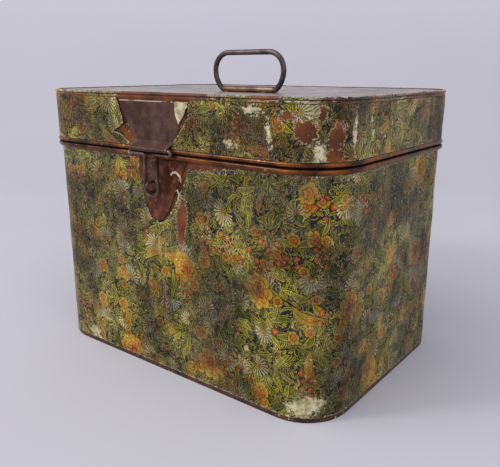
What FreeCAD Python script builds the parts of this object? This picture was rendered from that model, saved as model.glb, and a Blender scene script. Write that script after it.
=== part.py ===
import FreeCAD, Part
import math
import os
from FreeCAD import Vector

# Tin trunk: a round-cornered sheet case with a hinged slip-over lid, a wire handle and a hasp.
# Millimetres. X runs along the front, the front faces -Y, Z is up, the origin is under the middle.
# Offsets o are measured outwards from the outer face of the lid's wall.

# Overall sizes
trunk_width = 380.0
trunk_depth = 271.0
trunk_height = 290.8
corner_radius = 50.0
lid_height = 56.4

# Sheet, paper and clearances
tin = 0.6
paper = 0.25
running_play = 0.05
trim_gap = 0.3
overrun = 2.0

# Rolled rims and the step between lid and case
rim_gap = 0.4
lid_bead_radius = 2.4
lid_bead_proud = 2.2
body_step = 2.7
body_bead_radius = 2.7
body_bead_proud = 2.2
lap_width = 10.0

# Neck collar inside the case's rim
collar_rise = 12.0
collar_drop = 15.0

# Folded seam under the case
seam_height = 4.5
seam_proud = 0.9
seam_round = 0.45

# Folded rim and dish of the lid's top
band_height = 5.5
band_proud = 0.9
band_round = 0.7
panel_sink = 1.2
dish_depth = 3.1
dish_run = 88.0
dish_corner_radius = 24.0
dish_margin = 2.0

# Hinge straps at the back
hinge_spread_share = 0.5
strap_width = 30.0
strap_thick = 0.8
strap_drop = 48.0
notch_side_gap = 0.75
notch_rise = 3.9
hinge_rivet_spread = 18.0
hinge_rivet_rise = 9.0
lid_open_deg = 130.0

# Rivets
rivet_radius = 1.25
rivet_head_radius = 2.4
rivet_head_height = 1.2
rivet_tail_radius = 2.0
rivet_tail_height = 0.8

# Handle and its strap
handle_x = 4.0
handle_width = 100.0
handle_side_rise = 20.4
handle_shoulder_radius = 19.0
handle_wire_radius = 2.9
handle_foot_radius = 4.0
handle_strap_inset = 15.5
handle_strap_thick = 0.6
handle_foot_gap = 1.0
flange_reach = 11.0
flange_corner_radius = 2.0
handle_rivet_inset = 8.5

# Hasp: plate with barrel on the lid, wire and ferrule
hasp_x = -5.5
hasp_plate_thick = 0.6
hasp_plate_width = 94.0
hasp_plate_top_gap = 2.3
hasp_fold_rise = 8.0
barrel_length = 48.5
barrel_gap = 1.4
barrel_rise = 0.4
hasp_wire_radius = 1.7
hasp_end_gap = 1.0
hasp_turn_radius = 2.5
hasp_strand_spread = 15.4
hasp_corner_radius = 2.0
hasp_eye_radius = 9.3
hasp_neck_radius = 5.0
hasp_drop = 36.4
ferrule_length = 18.0
ferrule_thick = 0.8
ferrule_top_drop = 7.1
tail_length = 1.0

# Staple and its plate on the case
staple_wire_radius = 1.5
staple_bend_radius = 5.0
staple_reach = 16.5
clinch_bend_radius = 2.2
clinch_run = 3.5
staple_plate_thick = 0.8
staple_plate_width = 81.0
staple_plate_gap = 1.0
staple_plate_height = 60.5
staple_plate_foot_width = 26.0
staple_plate_foot_rise = 8.0

# Levels and places worked out from the sizes
half_width = trunk_width / 2
half_depth = trunk_depth / 2
rim_level = trunk_height - lid_height
lid_bead_o = lid_bead_proud - lid_bead_radius
lid_bead_z = rim_level + rim_gap / 2 + lid_bead_radius
body_bead_o = body_bead_proud - body_bead_radius
body_bead_z = rim_level - rim_gap / 2 - body_bead_radius
body_o = -body_step
body_in_o = body_o - tin
lid_wire_radius = lid_bead_radius - tin - running_play
body_wire_radius = body_bead_radius - tin - running_play
panel_top = trunk_height - panel_sink
dish_top = panel_top - dish_depth
hinge_y = half_depth + lid_bead_o
hinge_z = lid_bead_z
hinge_spread = trunk_width * hinge_spread_share
strap_places = (-hinge_spread / 2, hinge_spread / 2)
handle_strap_length = handle_width - 2 * handle_strap_inset
handle_rivet_spread = handle_strap_length - 2 * handle_rivet_inset
tube_radius = handle_wire_radius + running_play + handle_strap_thick
handle_z = dish_top + tube_radius
barrel_radius = hasp_wire_radius + running_play + hasp_plate_thick
barrel_y = -(half_depth + lid_bead_proud + barrel_gap + barrel_radius)
barrel_z = lid_bead_z + barrel_rise
eye_z = barrel_z - hasp_drop
hasp_plate_top = trunk_height - band_height - hasp_plate_top_gap
staple_plate_top = body_bead_z - body_bead_radius - staple_plate_gap
X = Vector(1, 0, 0)
Y = Vector(0, 1, 0)
Z = Vector(0, 0, 1)


# Building blocks

def rounded_face(o, z):
    """Rounded rectangle, the trunk's plan set out by o, as a face at height z."""
    return rounded_rectangle(half_width + o, half_depth + o, corner_radius + o, 0, z)


def rounded_rectangle(reach_x, reach_y, radius, x, z):
    """Rounded rectangle about (x, 0) at height z, from half sizes and a corner radius."""
    half_diagonal = radius * math.sqrt(0.5)
    corners = []
    for sx, sy in ((1, 1), (-1, 1), (-1, -1), (1, -1)):
        centre = Vector(x + sx * (reach_x - radius), sy * (reach_y - radius), z)
        on_side = centre + Vector(sx * radius, 0, 0)
        middle = centre + Vector(sx * half_diagonal, sy * half_diagonal, 0)
        on_end = centre + Vector(0, sy * radius, 0)
        points = (on_side, middle, on_end) if sx * sy > 0 else (on_end, middle, on_side)
        corners.append(points)
    edges = []
    for here, after in zip(corners, corners[1:] + corners[:1]):
        edges.append(Part.Arc(*here).toShape())
        edges.append(Part.LineSegment(here[2], after[0]).toShape())
    return Part.Face(Part.Wire(edges))


def slab(o, low, high):
    """Solid plan shape set out by o between two heights."""
    return rounded_face(o, low).extrude(Vector(0, 0, high - low))


def wall(inner_o, outer_o, low, high):
    """Upright sheet wall round the trunk."""
    return slab(outer_o, low, high).cut(slab(inner_o, low, high))


def disc(centre, normal, radius):
    """Round face."""
    return Part.Face(Part.Wire(Part.makeCircle(radius, centre, normal)))


def hoop(profile):
    """Sweep a profile, drawn in X (outwards offset) and Z, once round the trunk's plan."""
    pieces = []
    for turn in range(4):
        reach, run = (half_width, half_depth) if turn % 2 == 0 else (half_depth, half_width)
        side = profile.copy()
        side.translate(Vector(reach, corner_radius - run, 0))
        straight = side.extrude(Vector(0, 2 * (run - corner_radius), 0))
        start = profile.copy()
        start.translate(Vector(reach, run - corner_radius, 0))
        pivot = Vector(reach - corner_radius, run - corner_radius, 0)
        bend = start.revolve(pivot, Z, 90)
        for piece in (straight, bend):
            piece.rotate(Vector(), Z, 90 * turn)
            pieces.append(piece)
    return pieces[0].multiFuse(pieces[1:]).removeSplitter()


def bead(o, z, radius):
    """Hollow rolled edge round the trunk."""
    centre = Vector(o, 0, z)
    return hoop(disc(centre, Y, radius).cut(disc(centre, Y, radius - tin)))


def box(low, high):
    """Box between two corners."""
    size = high - low
    return Part.makeBox(size.x, size.y, size.z, low)


def prism(points, sweep):
    """Straight-edged outline pushed along sweep."""
    return Part.Face(Part.makePolygon(points + points[:1])).extrude(sweep)


def rod(start, end, radius):
    """Straight length of round wire."""
    along = end - start
    return Part.makeCylinder(radius, along.Length, start, along)


def bent_rod(start, middle, end, radius):
    """Round wire along an arc through three points."""
    centre = Part.Arc(start, middle, end).toShape().Curve.Center
    first = start - centre
    axis = first.cross(middle - centre).normalize()
    turn = math.degrees(first.getAngle(middle - centre) + (middle - centre).getAngle(end - centre))
    return disc(start, axis.cross(first), radius).revolve(centre, axis, turn)


def joined(pieces):
    """One solid from touching pieces."""
    return pieces[0].multiFuse(pieces[1:]).removeSplitter()


def plan_offset(point):
    """How far a point lies outside the lid wall's plan."""
    across = abs(point.x) - (half_width - corner_radius)
    along = abs(point.y) - (half_depth - corner_radius)
    if across > 0 and along > 0:
        return math.hypot(across, along) - corner_radius
    return max(across, along) - corner_radius


def round_rim(shape, o, z, radius):
    """Fillet the level edge that runs round the trunk at offset o and height z."""
    near = tin / 10
    rim = []
    for edge in shape.Edges:
        spots = edge.discretize(3)
        if all(abs(p.z - z) < near and abs(plan_offset(p) - o) < near for p in spots):
            rim.append(edge)
    return shape.makeFillet(radius, rim)


def rivet(place, outwards, grip):
    """Round-headed rivet: place is under the head, grip is the metal it holds."""
    shank = Part.makeCylinder(rivet_radius, grip, place, -outwards)
    cap_radius = (rivet_head_radius ** 2 + rivet_head_height ** 2) / (2 * rivet_head_height)
    ball = Part.makeSphere(cap_radius, place + outwards * (rivet_head_height - cap_radius))
    head = ball.common(Part.makeCylinder(rivet_head_radius, rivet_head_height, place, outwards))
    tail = Part.makeCylinder(rivet_tail_radius, rivet_tail_height, place - outwards * grip, -outwards)
    return joined([shank, head, tail])


def rivet_hole(place, outwards, depth):
    """Clearance hole for a rivet."""
    top = place + outwards * overrun
    return Part.makeCylinder(rivet_radius + running_play, depth + 2 * overrun, top, -outwards)


# Case

def strap_box(x, margin):
    """Space that a hinge strap's leaf takes on the back wall, with a margin round it."""
    reach = strap_width / 2 + margin
    low = body_bead_z - strap_drop - margin
    return box(Vector(x - reach, half_depth + body_in_o - overrun, low),
               Vector(x + reach, half_depth + body_bead_proud + overrun, body_bead_z))


def hinge_rivet_places():
    """Where the hinge rivets sit on the straps."""
    y = half_depth + body_o + strap_thick
    z = body_bead_z - strap_drop + hinge_rivet_rise
    places = []
    for x in strap_places:
        for side in (-1, 1):
            places.append(Vector(x + side * hinge_rivet_spread / 2, y, z))
    return places


def staple_legs():
    """Heights of the staple's two legs."""
    return (eye_z - staple_bend_radius, eye_z + staple_bend_radius)


def staple_holes():
    """Clearance holes for the staple's legs through wall and plate."""
    inside = -(half_depth + body_in_o - overrun)
    depth = tin + staple_plate_thick + 2 * overrun
    radius = staple_wire_radius + running_play
    return [Part.makeCylinder(radius, depth, Vector(hasp_x, inside, z), -Y) for z in staple_legs()]


def body_wall():
    sheet = wall(body_in_o, body_o, tin, body_bead_z)
    lap = box(Vector(-lap_width / 2, half_depth + body_in_o - tin, tin),
              Vector(lap_width / 2, half_depth + body_in_o, body_bead_z - collar_drop))
    shape = joined([sheet, bead(body_bead_o, body_bead_z, body_bead_radius), lap])
    holes = staple_holes()
    for place in hinge_rivet_places():
        holes.append(rivet_hole(place, Y, strap_thick + tin))
    return shape.cut(holes)


def body_rim_wire():
    return hoop(disc(Vector(body_bead_o, 0, body_bead_z), Y, body_wire_radius))


def neck_collar():
    top = body_bead_z + body_bead_radius + collar_rise
    return wall(body_in_o - tin, body_in_o, body_bead_z - collar_drop, top)


def bottom_panel():
    seam_o = body_o + seam_proud
    shape = joined([slab(seam_o, 0, tin), wall(body_o, seam_o, 0, seam_height)])
    shape = round_rim(shape, seam_o, 0, seam_round)
    return round_rim(shape, seam_o, seam_height, seam_round)


def body_paper():
    top = body_bead_z - body_bead_radius
    skin = wall(body_o, body_o + paper, seam_height + trim_gap, top)
    return skin.cut([strap_box(x, trim_gap) for x in strap_places] + [staple_plate_blank(trim_gap)])


def staple_plate_blank(margin):
    """Tapered plate with a rounded foot, grown by a margin on every side."""
    top = staple_plate_top + margin
    foot = staple_plate_top - staple_plate_height + staple_plate_foot_rise
    tip = foot - staple_plate_foot_rise - margin
    wide = staple_plate_width / 2 + margin
    narrow = staple_plate_foot_width / 2 + margin
    y = -(half_depth + body_o)
    right = Vector(hasp_x + narrow, y, foot)
    left = Vector(hasp_x - narrow, y, foot)
    edges = [
        Part.LineSegment(Vector(hasp_x - wide, y, top), Vector(hasp_x + wide, y, top)).toShape(),
        Part.LineSegment(Vector(hasp_x + wide, y, top), right).toShape(),
        Part.Arc(right, Vector(hasp_x, y, tip), left).toShape(),
        Part.LineSegment(left, Vector(hasp_x - wide, y, top)).toShape(),
    ]
    return Part.Face(Part.Wire(edges)).extrude(Vector(0, -staple_plate_thick, 0))


def staple_plate():
    return staple_plate_blank(0).cut(staple_holes())


def staple():
    nose_y = -(half_depth + body_o + staple_reach - staple_wire_radius - staple_bend_radius)
    wall_y = -(half_depth + body_in_o)
    low, high = staple_legs()
    tip = Vector(hasp_x, nose_y - staple_bend_radius, eye_z)
    pieces = [bent_rod(Vector(hasp_x, nose_y, low), tip, Vector(hasp_x, nose_y, high),
                       staple_wire_radius)]
    half_diagonal = clinch_bend_radius * math.sqrt(0.5)
    for z, side in ((low, -1), (high, 1)):
        leg_end = Vector(hasp_x, wall_y, z)
        centre = Vector(hasp_x, wall_y, z + side * clinch_bend_radius)
        middle = centre + Vector(0, half_diagonal, -side * half_diagonal)
        turned = centre + Vector(0, clinch_bend_radius, 0)
        end = turned + Vector(0, 0, side * clinch_run)
        pieces.append(rod(Vector(hasp_x, nose_y, z), leg_end, staple_wire_radius))
        pieces.append(bent_rod(leg_end, middle, turned, staple_wire_radius))
        pieces.append(rod(turned, end, staple_wire_radius))
    return joined(pieces)


def hinge_strap(x):
    """Strap up the back wall, round the case's bead, and rolled round the lid's rim wire."""
    side = x - strap_width / 2
    wide = Vector(strap_width, 0, 0)
    bead_y = half_depth + body_bead_o
    wall_y = half_depth + body_o
    knuckle = Vector(side, hinge_y, hinge_z)
    wrap = Vector(side, bead_y, body_bead_z)
    knuckle_radius = lid_wire_radius + running_play
    wrap_radius = body_bead_radius + running_play
    roll = disc(knuckle, X, knuckle_radius + strap_thick).cut(disc(knuckle, X, knuckle_radius))
    curve = disc(wrap, X, wrap_radius + strap_thick).cut(disc(wrap, X, wrap_radius)).extrude(wide)
    outside = box(Vector(side, bead_y, body_bead_z - 2 * wrap_radius),
                  Vector(side + strap_width, bead_y + 2 * wrap_radius, hinge_z))
    foot_z = body_bead_z - wrap_radius
    step = box(Vector(side, wall_y, foot_z - strap_thick),
               Vector(side + strap_width, bead_y, foot_z))
    leaf = box(Vector(side, wall_y, body_bead_z - strap_drop),
               Vector(side + strap_width, wall_y + strap_thick, foot_z))
    shape = joined([roll.extrude(wide), curve.common(outside), step, leaf])
    bore = Part.makeCylinder(knuckle_radius, strap_width + 2 * overrun,
                             knuckle - X * overrun, X)
    holes = [rivet_hole(place, Y, strap_thick + tin) for place in hinge_rivet_places()]
    return shape.cut([bore] + holes)


def hinge_rivets():
    return Part.makeCompound([rivet(place, Y, strap_thick + tin) for place in hinge_rivet_places()])


# Lid

def hinge_notches():
    """Gaps in the lid's bead where the hinge straps roll round the bare wire."""
    reach = strap_width / 2 + notch_side_gap
    low_y = half_depth + lid_bead_o - lid_bead_radius - overrun
    high_y = half_depth + lid_bead_proud + overrun
    notches = []
    for x in strap_places:
        notches.append(box(Vector(x - reach, low_y, hinge_z - lid_bead_radius - overrun),
                           Vector(x + reach, high_y, hinge_z + notch_rise)))
    return notches


def lid_skirt():
    foot = lid_bead_z + lid_bead_radius - tin / 2
    sheet = wall(-tin, 0, foot, trunk_height - tin)
    lap = box(Vector(-lap_width / 2, half_depth - 2 * tin, foot + tin),
              Vector(lap_width / 2, half_depth - tin, panel_top - tin))
    shape = joined([sheet, bead(lid_bead_o, lid_bead_z, lid_bead_radius), lap])
    return shape.cut(hinge_notches())


def lid_rim_wire():
    return hoop(disc(Vector(lid_bead_o, 0, lid_bead_z), Y, lid_wire_radius))


def dish(rise):
    """Solid over the lid's dished panel, its under face lifted by rise."""
    edge_o = -2 * tin - dish_margin
    outer = rounded_face(edge_o, panel_top + rise).OuterWire
    reach_x = half_width + edge_o - dish_run
    reach_y = half_depth + edge_o - dish_run
    inner = rounded_rectangle(reach_x, reach_y, dish_corner_radius, 0, dish_top + rise).OuterWire
    return Part.makeLoft([outer, inner], True, True)


def handle_rivet_places():
    """Where the handle's rivets sit on the strap's flanges."""
    y = (tube_radius + flange_reach) / 2
    z = dish_top + handle_strap_thick
    places = []
    for side_x in (-1, 1):
        for side_y in (-1, 1):
            places.append(Vector(handle_x + side_x * handle_rivet_spread / 2, side_y * y, z))
    return places


def lid_top():
    band = wall(0, band_proud, trunk_height - band_height, trunk_height)
    cap = wall(-2 * tin, band_proud, trunk_height - tin, trunk_height)
    upstand = wall(-2 * tin, -tin, panel_top - tin, trunk_height)
    panel = joined([slab(-tin, panel_top - tin, panel_top), dish(-tin)]).cut(dish(0))
    shape = joined([band, cap, upstand, panel])
    shape = round_rim(shape, band_proud, trunk_height, band_round)
    grip = handle_strap_thick + tin
    return shape.cut([rivet_hole(place, Z, grip) for place in handle_rivet_places()])


def lid_paper():
    low = lid_bead_z + lid_bead_radius
    skin = wall(0, paper, low, trunk_height - band_height - trim_gap)
    return skin.cut(hinge_notches() + [hasp_outline(trim_gap)])


def lid_top_paper():
    skin = joined([slab(-2 * tin - trim_gap, panel_top, panel_top + paper), dish(0)])
    gap = flange_blank(trim_gap, dish_top - tin, paper + 2 * tin)
    return skin.cut([dish(paper), gap])


def flange_blank(margin, low, thick):
    """Round-cornered footprint of the handle's strap, grown by a margin."""
    reach_x = handle_strap_length / 2 + margin
    face = rounded_rectangle(reach_x, flange_reach + margin, flange_corner_radius, handle_x, low)
    return face.extrude(Vector(0, 0, thick))


def handle_strap():
    start = Vector(handle_x - handle_strap_length / 2, 0, handle_z)
    along = Vector(handle_strap_length, 0, 0)
    flanges = flange_blank(0, dish_top, handle_strap_thick)
    tube = disc(start, X, tube_radius).extrude(along)
    bore = Part.makeCylinder(handle_wire_radius + running_play,
                             handle_strap_length + 2 * overrun, start - X * overrun, X)
    grip = handle_strap_thick + tin
    holes = [rivet_hole(place, Z, grip) for place in handle_rivet_places()]
    return joined([flanges, tube]).cut([bore] + holes)


def handle_rivets():
    grip = handle_strap_thick + tin
    return Part.makeCompound([rivet(place, Z, grip) for place in handle_rivet_places()])


# Handle

def handle_loop():
    """Closed wire loop: bar in the strap, splayed feet, round shoulders and a straight grip."""
    side = handle_width / 2 - handle_wire_radius
    bar = handle_strap_length / 2 + handle_foot_gap
    foot = handle_foot_radius
    shoulder = handle_shoulder_radius
    top = handle_side_rise + shoulder
    splay = 2 * math.atan2(side - bar - foot, handle_side_rise - foot)
    flank = foot + (handle_side_rise - foot) / math.sin(splay)
    pieces = [
        handle_rod((-bar, 0), (bar, 0)),
        handle_rod((shoulder - side, top), (side - shoulder, top)),
    ]
    half = math.sqrt(0.5)
    for m in (-1, 1):
        toe = foot_point(bar, foot, 0, splay)
        mid_toe = foot_point(bar, foot, (math.pi / 2 - splay) / 2, None)
        flank_mid = flank_point(side, flank, splay / 2)
        pieces.append(handle_bend((m * bar, 0), (m * mid_toe[0], mid_toe[1]), (m * toe[0], toe[1])))
        pieces.append(handle_bend((m * toe[0], toe[1]), (m * flank_mid[0], flank_mid[1]),
                                  (m * side, handle_side_rise)))
        pieces.append(handle_bend((m * side, handle_side_rise),
                                  (m * (side - shoulder + half * shoulder),
                                   handle_side_rise + half * shoulder),
                                  (m * (side - shoulder), top)))
    return joined(pieces)


def foot_point(bar, foot, turned, splay):
    """Point on the foot's bend, after a turned angle, or at its end for a given splay."""
    angle = turned if splay is None else math.pi / 2 - splay
    return (bar + foot * math.sin(angle), foot * (1 - math.cos(angle)))


def flank_point(side, flank, below):
    """Point on the side's long bend, an angle below its widest place."""
    return (side - flank * (1 - math.cos(below)), handle_side_rise - flank * math.sin(below))


def handle_at(place):
    return Vector(handle_x + place[0], 0, handle_z + place[1])


def handle_rod(start, end):
    return rod(handle_at(start), handle_at(end), handle_wire_radius)


def handle_bend(start, middle, end):
    return bent_rod(handle_at(start), handle_at(middle), handle_at(end), handle_wire_radius)


# Hasp

def hasp_outline(margin):
    """Tapered outline of the hasp's plate and barrel, grown by a margin, as a thick block."""
    top = hasp_plate_top + margin
    shoulder = barrel_z + barrel_radius
    low = barrel_z - barrel_radius - margin
    wide = hasp_plate_width / 2 + margin
    narrow = barrel_length / 2 + margin
    y = -(half_depth - overrun)
    points = [Vector(hasp_x + px, y, pz) for px, pz in (
        (-wide, top), (wide, top), (narrow, shoulder), (narrow, low), (-narrow, low),
        (-narrow, shoulder))]
    return prism(points, Vector(0, barrel_y - barrel_radius - overrun - y, 0))


def hasp_plate():
    """Flat plate on the lid, its foot folded out over the bead and rolled into a barrel."""
    side = hasp_x - hasp_plate_width / 2
    wide = Vector(hasp_plate_width, 0, 0)
    face_y = -half_depth
    fold = Vector(side, face_y - hasp_plate_thick / 2, barrel_z + hasp_fold_rise)
    barrel = Vector(side, barrel_y, barrel_z)
    roll = barrel_radius - hasp_plate_thick / 2
    to_barrel = barrel - fold
    slope = math.atan2(to_barrel.z, to_barrel.y) - math.asin(roll / to_barrel.Length)
    along = Vector(0, math.cos(slope), math.sin(slope))
    across = Vector(0, -math.sin(slope), math.cos(slope)) * (hasp_plate_thick / 2)
    touch = fold + along * math.sqrt(to_barrel.Length ** 2 - roll ** 2)
    apron = prism([fold - across, fold + across, touch + across, touch - across], wide)
    flat = box(Vector(side, face_y - hasp_plate_thick, fold.z),
               Vector(side + hasp_plate_width, face_y, hasp_plate_top))
    bend = Part.makeCylinder(hasp_plate_thick / 2, hasp_plate_width, fold, X)
    tube = Part.makeCylinder(barrel_radius, hasp_plate_width, barrel, X)
    bore = Part.makeCylinder(barrel_radius - hasp_plate_thick, hasp_plate_width + 2 * overrun,
                             barrel - X * overrun, X)
    return joined([flat, bend, apron, tube]).cut(bore).common(hasp_outline(0))


def hasp_at(place):
    return Vector(hasp_x + place[0], barrel_y, barrel_z + place[1])


def hasp_rod(start, end):
    return rod(hasp_at(start), hasp_at(end), hasp_wire_radius)


def hasp_bend(start, middle, end):
    return bent_rod(hasp_at(start), hasp_at(middle), hasp_at(end), hasp_wire_radius)


def hasp_wire():
    """Pin through the barrel, ends turned back under it, two strands and a round eye."""
    pin = barrel_length / 2 + hasp_end_gap
    turn = hasp_turn_radius
    corner = hasp_corner_radius
    strand = hasp_strand_spread / 2
    neck = hasp_neck_radius
    eye = hasp_eye_radius
    half = math.sqrt(0.5)
    neck_z = math.sqrt((eye + neck) ** 2 - (strand + neck) ** 2) - hasp_drop
    neck_turn = math.acos((strand + neck) / (eye + neck))
    join_x = eye * math.cos(neck_turn)
    join_z = eye * math.sin(neck_turn) - hasp_drop
    bar_z = -2 * turn
    pieces = [hasp_rod((-pin, 0), (pin, 0))]
    for m in (-1, 1):
        neck_mid = (m * (strand + neck - neck * math.cos(neck_turn / 2)),
                    neck_z - neck * math.sin(neck_turn / 2))
        pieces.append(hasp_bend((m * pin, 0), (m * (pin + turn), -turn), (m * pin, bar_z)))
        pieces.append(hasp_rod((m * pin, bar_z), (m * (strand + corner), bar_z)))
        pieces.append(hasp_bend((m * (strand + corner), bar_z),
                                (m * (strand + corner - half * corner),
                                 bar_z - corner + half * corner),
                                (m * strand, bar_z - corner)))
        pieces.append(hasp_rod((m * strand, bar_z - corner), (m * strand, neck_z)))
        pieces.append(hasp_bend((m * strand, neck_z), neck_mid, (m * join_x, join_z)))
    pieces.append(hasp_bend((-join_x, join_z), (0, -hasp_drop - eye), (join_x, join_z)))
    top = ferrule_axis(ferrule_top_drop - tail_length) - Y * tail_offset()
    foot = ferrule_axis(ferrule_top_drop + ferrule_length + tail_length) - Y * tail_offset()
    return Part.makeCompound([joined(pieces), rod(foot, top, hasp_wire_radius)])


def tail_offset():
    """Half the distance between the two wire ends that lie side by side in the ferrule."""
    return hasp_wire_radius + running_play


def ferrule_axis(drop):
    """Point on the ferrule's axis, a drop below the barrel."""
    strand = hasp_strand_spread / 2
    return Vector(hasp_x + strand, barrel_y - tail_offset(), barrel_z - drop)


def hasp_ferrule():
    inner = tail_offset() + hasp_wire_radius + running_play
    foot = ferrule_axis(ferrule_top_drop + ferrule_length)
    sleeve = Part.makeCylinder(inner + ferrule_thick, ferrule_length, foot, Z)
    bore = Part.makeCylinder(inner, ferrule_length + 2 * overrun, foot - Z * overrun, Z)
    return sleeve.cut(bore)


nodes = {
    "body_wall": body_wall,
    "body_rim_wire": body_rim_wire,
    "neck_collar": neck_collar,
    "bottom_panel": bottom_panel,
    "body_paper": body_paper,
    "staple_plate": staple_plate,
    "staple": staple,
    "hinge_strap_left": lambda: hinge_strap(strap_places[0]),
    "hinge_strap_right": lambda: hinge_strap(strap_places[1]),
    "hinge_rivets": hinge_rivets,
    "lid_skirt": lid_skirt,
    "lid_rim_wire": lid_rim_wire,
    "lid_top": lid_top,
    "lid_paper": lid_paper,
    "lid_top_paper": lid_top_paper,
    "handle_strap": handle_strap,
    "handle_rivets": handle_rivets,
    "handle_loop": handle_loop,
    "hasp_plate": hasp_plate,
    "hasp_wire": hasp_wire,
    "hasp_ferrule": hasp_ferrule,
}

os.makedirs("parts", exist_ok=True)
for name, make in nodes.items():
    shape = make()
    shape.exportStep(os.path.join("parts", name + ".step"))
    print(name, len(shape.Solids), "solid", "valid" if shape.isValid() else "NOT VALID",
          round(shape.Volume, 1), "mm3")

print("lid hinge axis at y", round(hinge_y, 3), "z", round(hinge_z, 3), "opens to", lid_open_deg)
print("handle axis at x", handle_x, "y", 0, "z", round(handle_z, 3))
print("hasp axis at y", round(barrel_y, 3), "z", round(barrel_z, 3), "eye at z", round(eye_z, 3))
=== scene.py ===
import math
import random

import bpy
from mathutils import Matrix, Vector


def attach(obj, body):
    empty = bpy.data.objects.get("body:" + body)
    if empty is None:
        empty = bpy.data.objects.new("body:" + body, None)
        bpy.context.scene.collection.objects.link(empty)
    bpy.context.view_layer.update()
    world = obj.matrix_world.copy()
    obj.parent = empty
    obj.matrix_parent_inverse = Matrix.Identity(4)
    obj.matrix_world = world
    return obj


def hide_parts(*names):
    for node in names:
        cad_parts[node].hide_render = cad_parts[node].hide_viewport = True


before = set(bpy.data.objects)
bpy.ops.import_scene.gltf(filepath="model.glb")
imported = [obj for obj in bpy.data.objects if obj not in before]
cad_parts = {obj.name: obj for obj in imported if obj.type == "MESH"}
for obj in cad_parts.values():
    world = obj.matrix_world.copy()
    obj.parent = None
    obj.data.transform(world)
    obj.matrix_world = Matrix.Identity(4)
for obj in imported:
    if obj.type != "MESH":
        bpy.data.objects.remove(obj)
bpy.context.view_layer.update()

# Sizes of the trunk, in metres, as the solids have them
HALF_WIDTH = 0.190
HALF_DEPTH = 0.1355
CORNER = 0.050
TOP = 0.2908
TIN = 0.0006
CASE_OUT = -0.0027
CASE_PAPER_LOW = 0.0048
CASE_PAPER_HIGH = 0.2287
LID_PAPER_LOW = 0.2395
LID_PAPER_HIGH = 0.2850
BAND_LOW = 0.2853
BAND_OUT = 0.0009
PANEL_EDGE = -0.0012
PANEL_TOP = 0.2896
DISH_DEPTH = 0.0031
DISH_RUN = 0.088
PAPER = 0.00025
GROOVE_Z = 0.2344
HANDLE_X = 0.004
STRAP_X = 0.095
MM = 0.001

# From y to y, for what is cut out of the front and the back of a paper
FRONT_CUT = (-0.16, -0.12)
BACK_CUT = (0.12, 0.16)

# Scales that turn metres into millimetres, and into the units that the print is drawn in
FLAT_MM = (1000.0, 1000.0, 0.0)
SOLID_MM = (1000.0, 1000.0, 1000.0)
PRINT_UNITS = (800.0, 800.0, 0.0)

# Where the camera stands, and how far it is turned to the left and looks down
CAMERA_PLACE = (0.4147, -0.5259, 0.3116)
YAW, PITCH = math.radians(37.8366), math.radians(15.678)
LENS_MM = 42.16


# Modelling helpers

def clear_selection():
    if bpy.context.object and bpy.context.object.mode != "OBJECT":
        bpy.ops.object.mode_set(mode="OBJECT")
    bpy.ops.object.select_all(action="DESELECT")


def pick(obj):
    """Selects one piece alone and makes it the active one."""
    clear_selection()
    obj.select_set(True)
    bpy.context.view_layer.objects.active = obj


def edit(obj):
    """Edit mode on one piece, with all of it selected."""
    pick(obj)
    bpy.ops.object.mode_set(mode="EDIT")
    bpy.ops.mesh.select_all(action="SELECT")


def done():
    """Back to object mode, with the piece that was edited."""
    bpy.ops.object.mode_set(mode="OBJECT")
    return bpy.context.object


def new_point(name, place):
    """A mesh of one vertex, left in edit mode, from which an outline is drawn."""
    clear_selection()
    bpy.ops.mesh.primitive_plane_add(size=MM)
    obj = bpy.context.object
    obj.name = name
    obj.data.name = name
    bpy.ops.object.mode_set(mode="EDIT")
    bpy.ops.mesh.merge(type="CENTER")
    bpy.ops.transform.translate(value=place)
    return obj


def drawn_line(name, points):
    """An open line of edges through points, left in edit mode."""
    obj = new_point(name, points[0])
    for here, after in zip(points, points[1:]):
        bpy.ops.mesh.extrude_region_move(
            TRANSFORM_OT_translate={"value": Vector(after) - Vector(here)})
    return obj


def swept_round(name, profile, spacing):
    """A profile of (outwards offset, height) pairs swept once round the trunk's plan."""
    straight_y = HALF_DEPTH - CORNER
    straight_x = HALF_WIDTH - CORNER
    points = [(HALF_WIDTH + out, -straight_y, z) for out, z in profile]
    obj = drawn_line(name, points)
    bpy.ops.mesh.select_all(action="SELECT")
    turns = max(6, round(CORNER * math.pi / 2 / spacing))
    sides = ((0, 1, straight_y), (-1, 0, straight_x),
             (0, -1, straight_y), (1, 0, straight_x))
    corners = ((1, 1), (-1, 1), (-1, -1), (1, -1))
    for (dx, dy, run), (sx, sy) in zip(sides, corners):
        count = max(2, round(2 * run / spacing))
        for _ in range(count):
            move = (dx * 2 * run / count, dy * 2 * run / count, 0)
            bpy.ops.mesh.extrude_region_move(TRANSFORM_OT_translate={"value": move})
        bpy.ops.mesh.spin(steps=turns, angle=-math.pi / 2, axis=(0, 0, 1),
                          center=(sx * straight_x, sy * straight_y, 0))
    bpy.ops.mesh.select_all(action="SELECT")
    bpy.ops.mesh.remove_doubles(threshold=0.00002)
    bpy.ops.mesh.normals_make_consistent(inside=False)
    done()
    face_outwards(obj)
    return obj


def plan_offset(x, y):
    """How far a point lies outside the lid wall's plan, in metres."""
    across = abs(x) - (HALF_WIDTH - CORNER)
    along = abs(y) - (HALF_DEPTH - CORNER)
    if across > 0 and along > 0:
        return math.hypot(across, along) - CORNER
    return max(across, along) - CORNER


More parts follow.
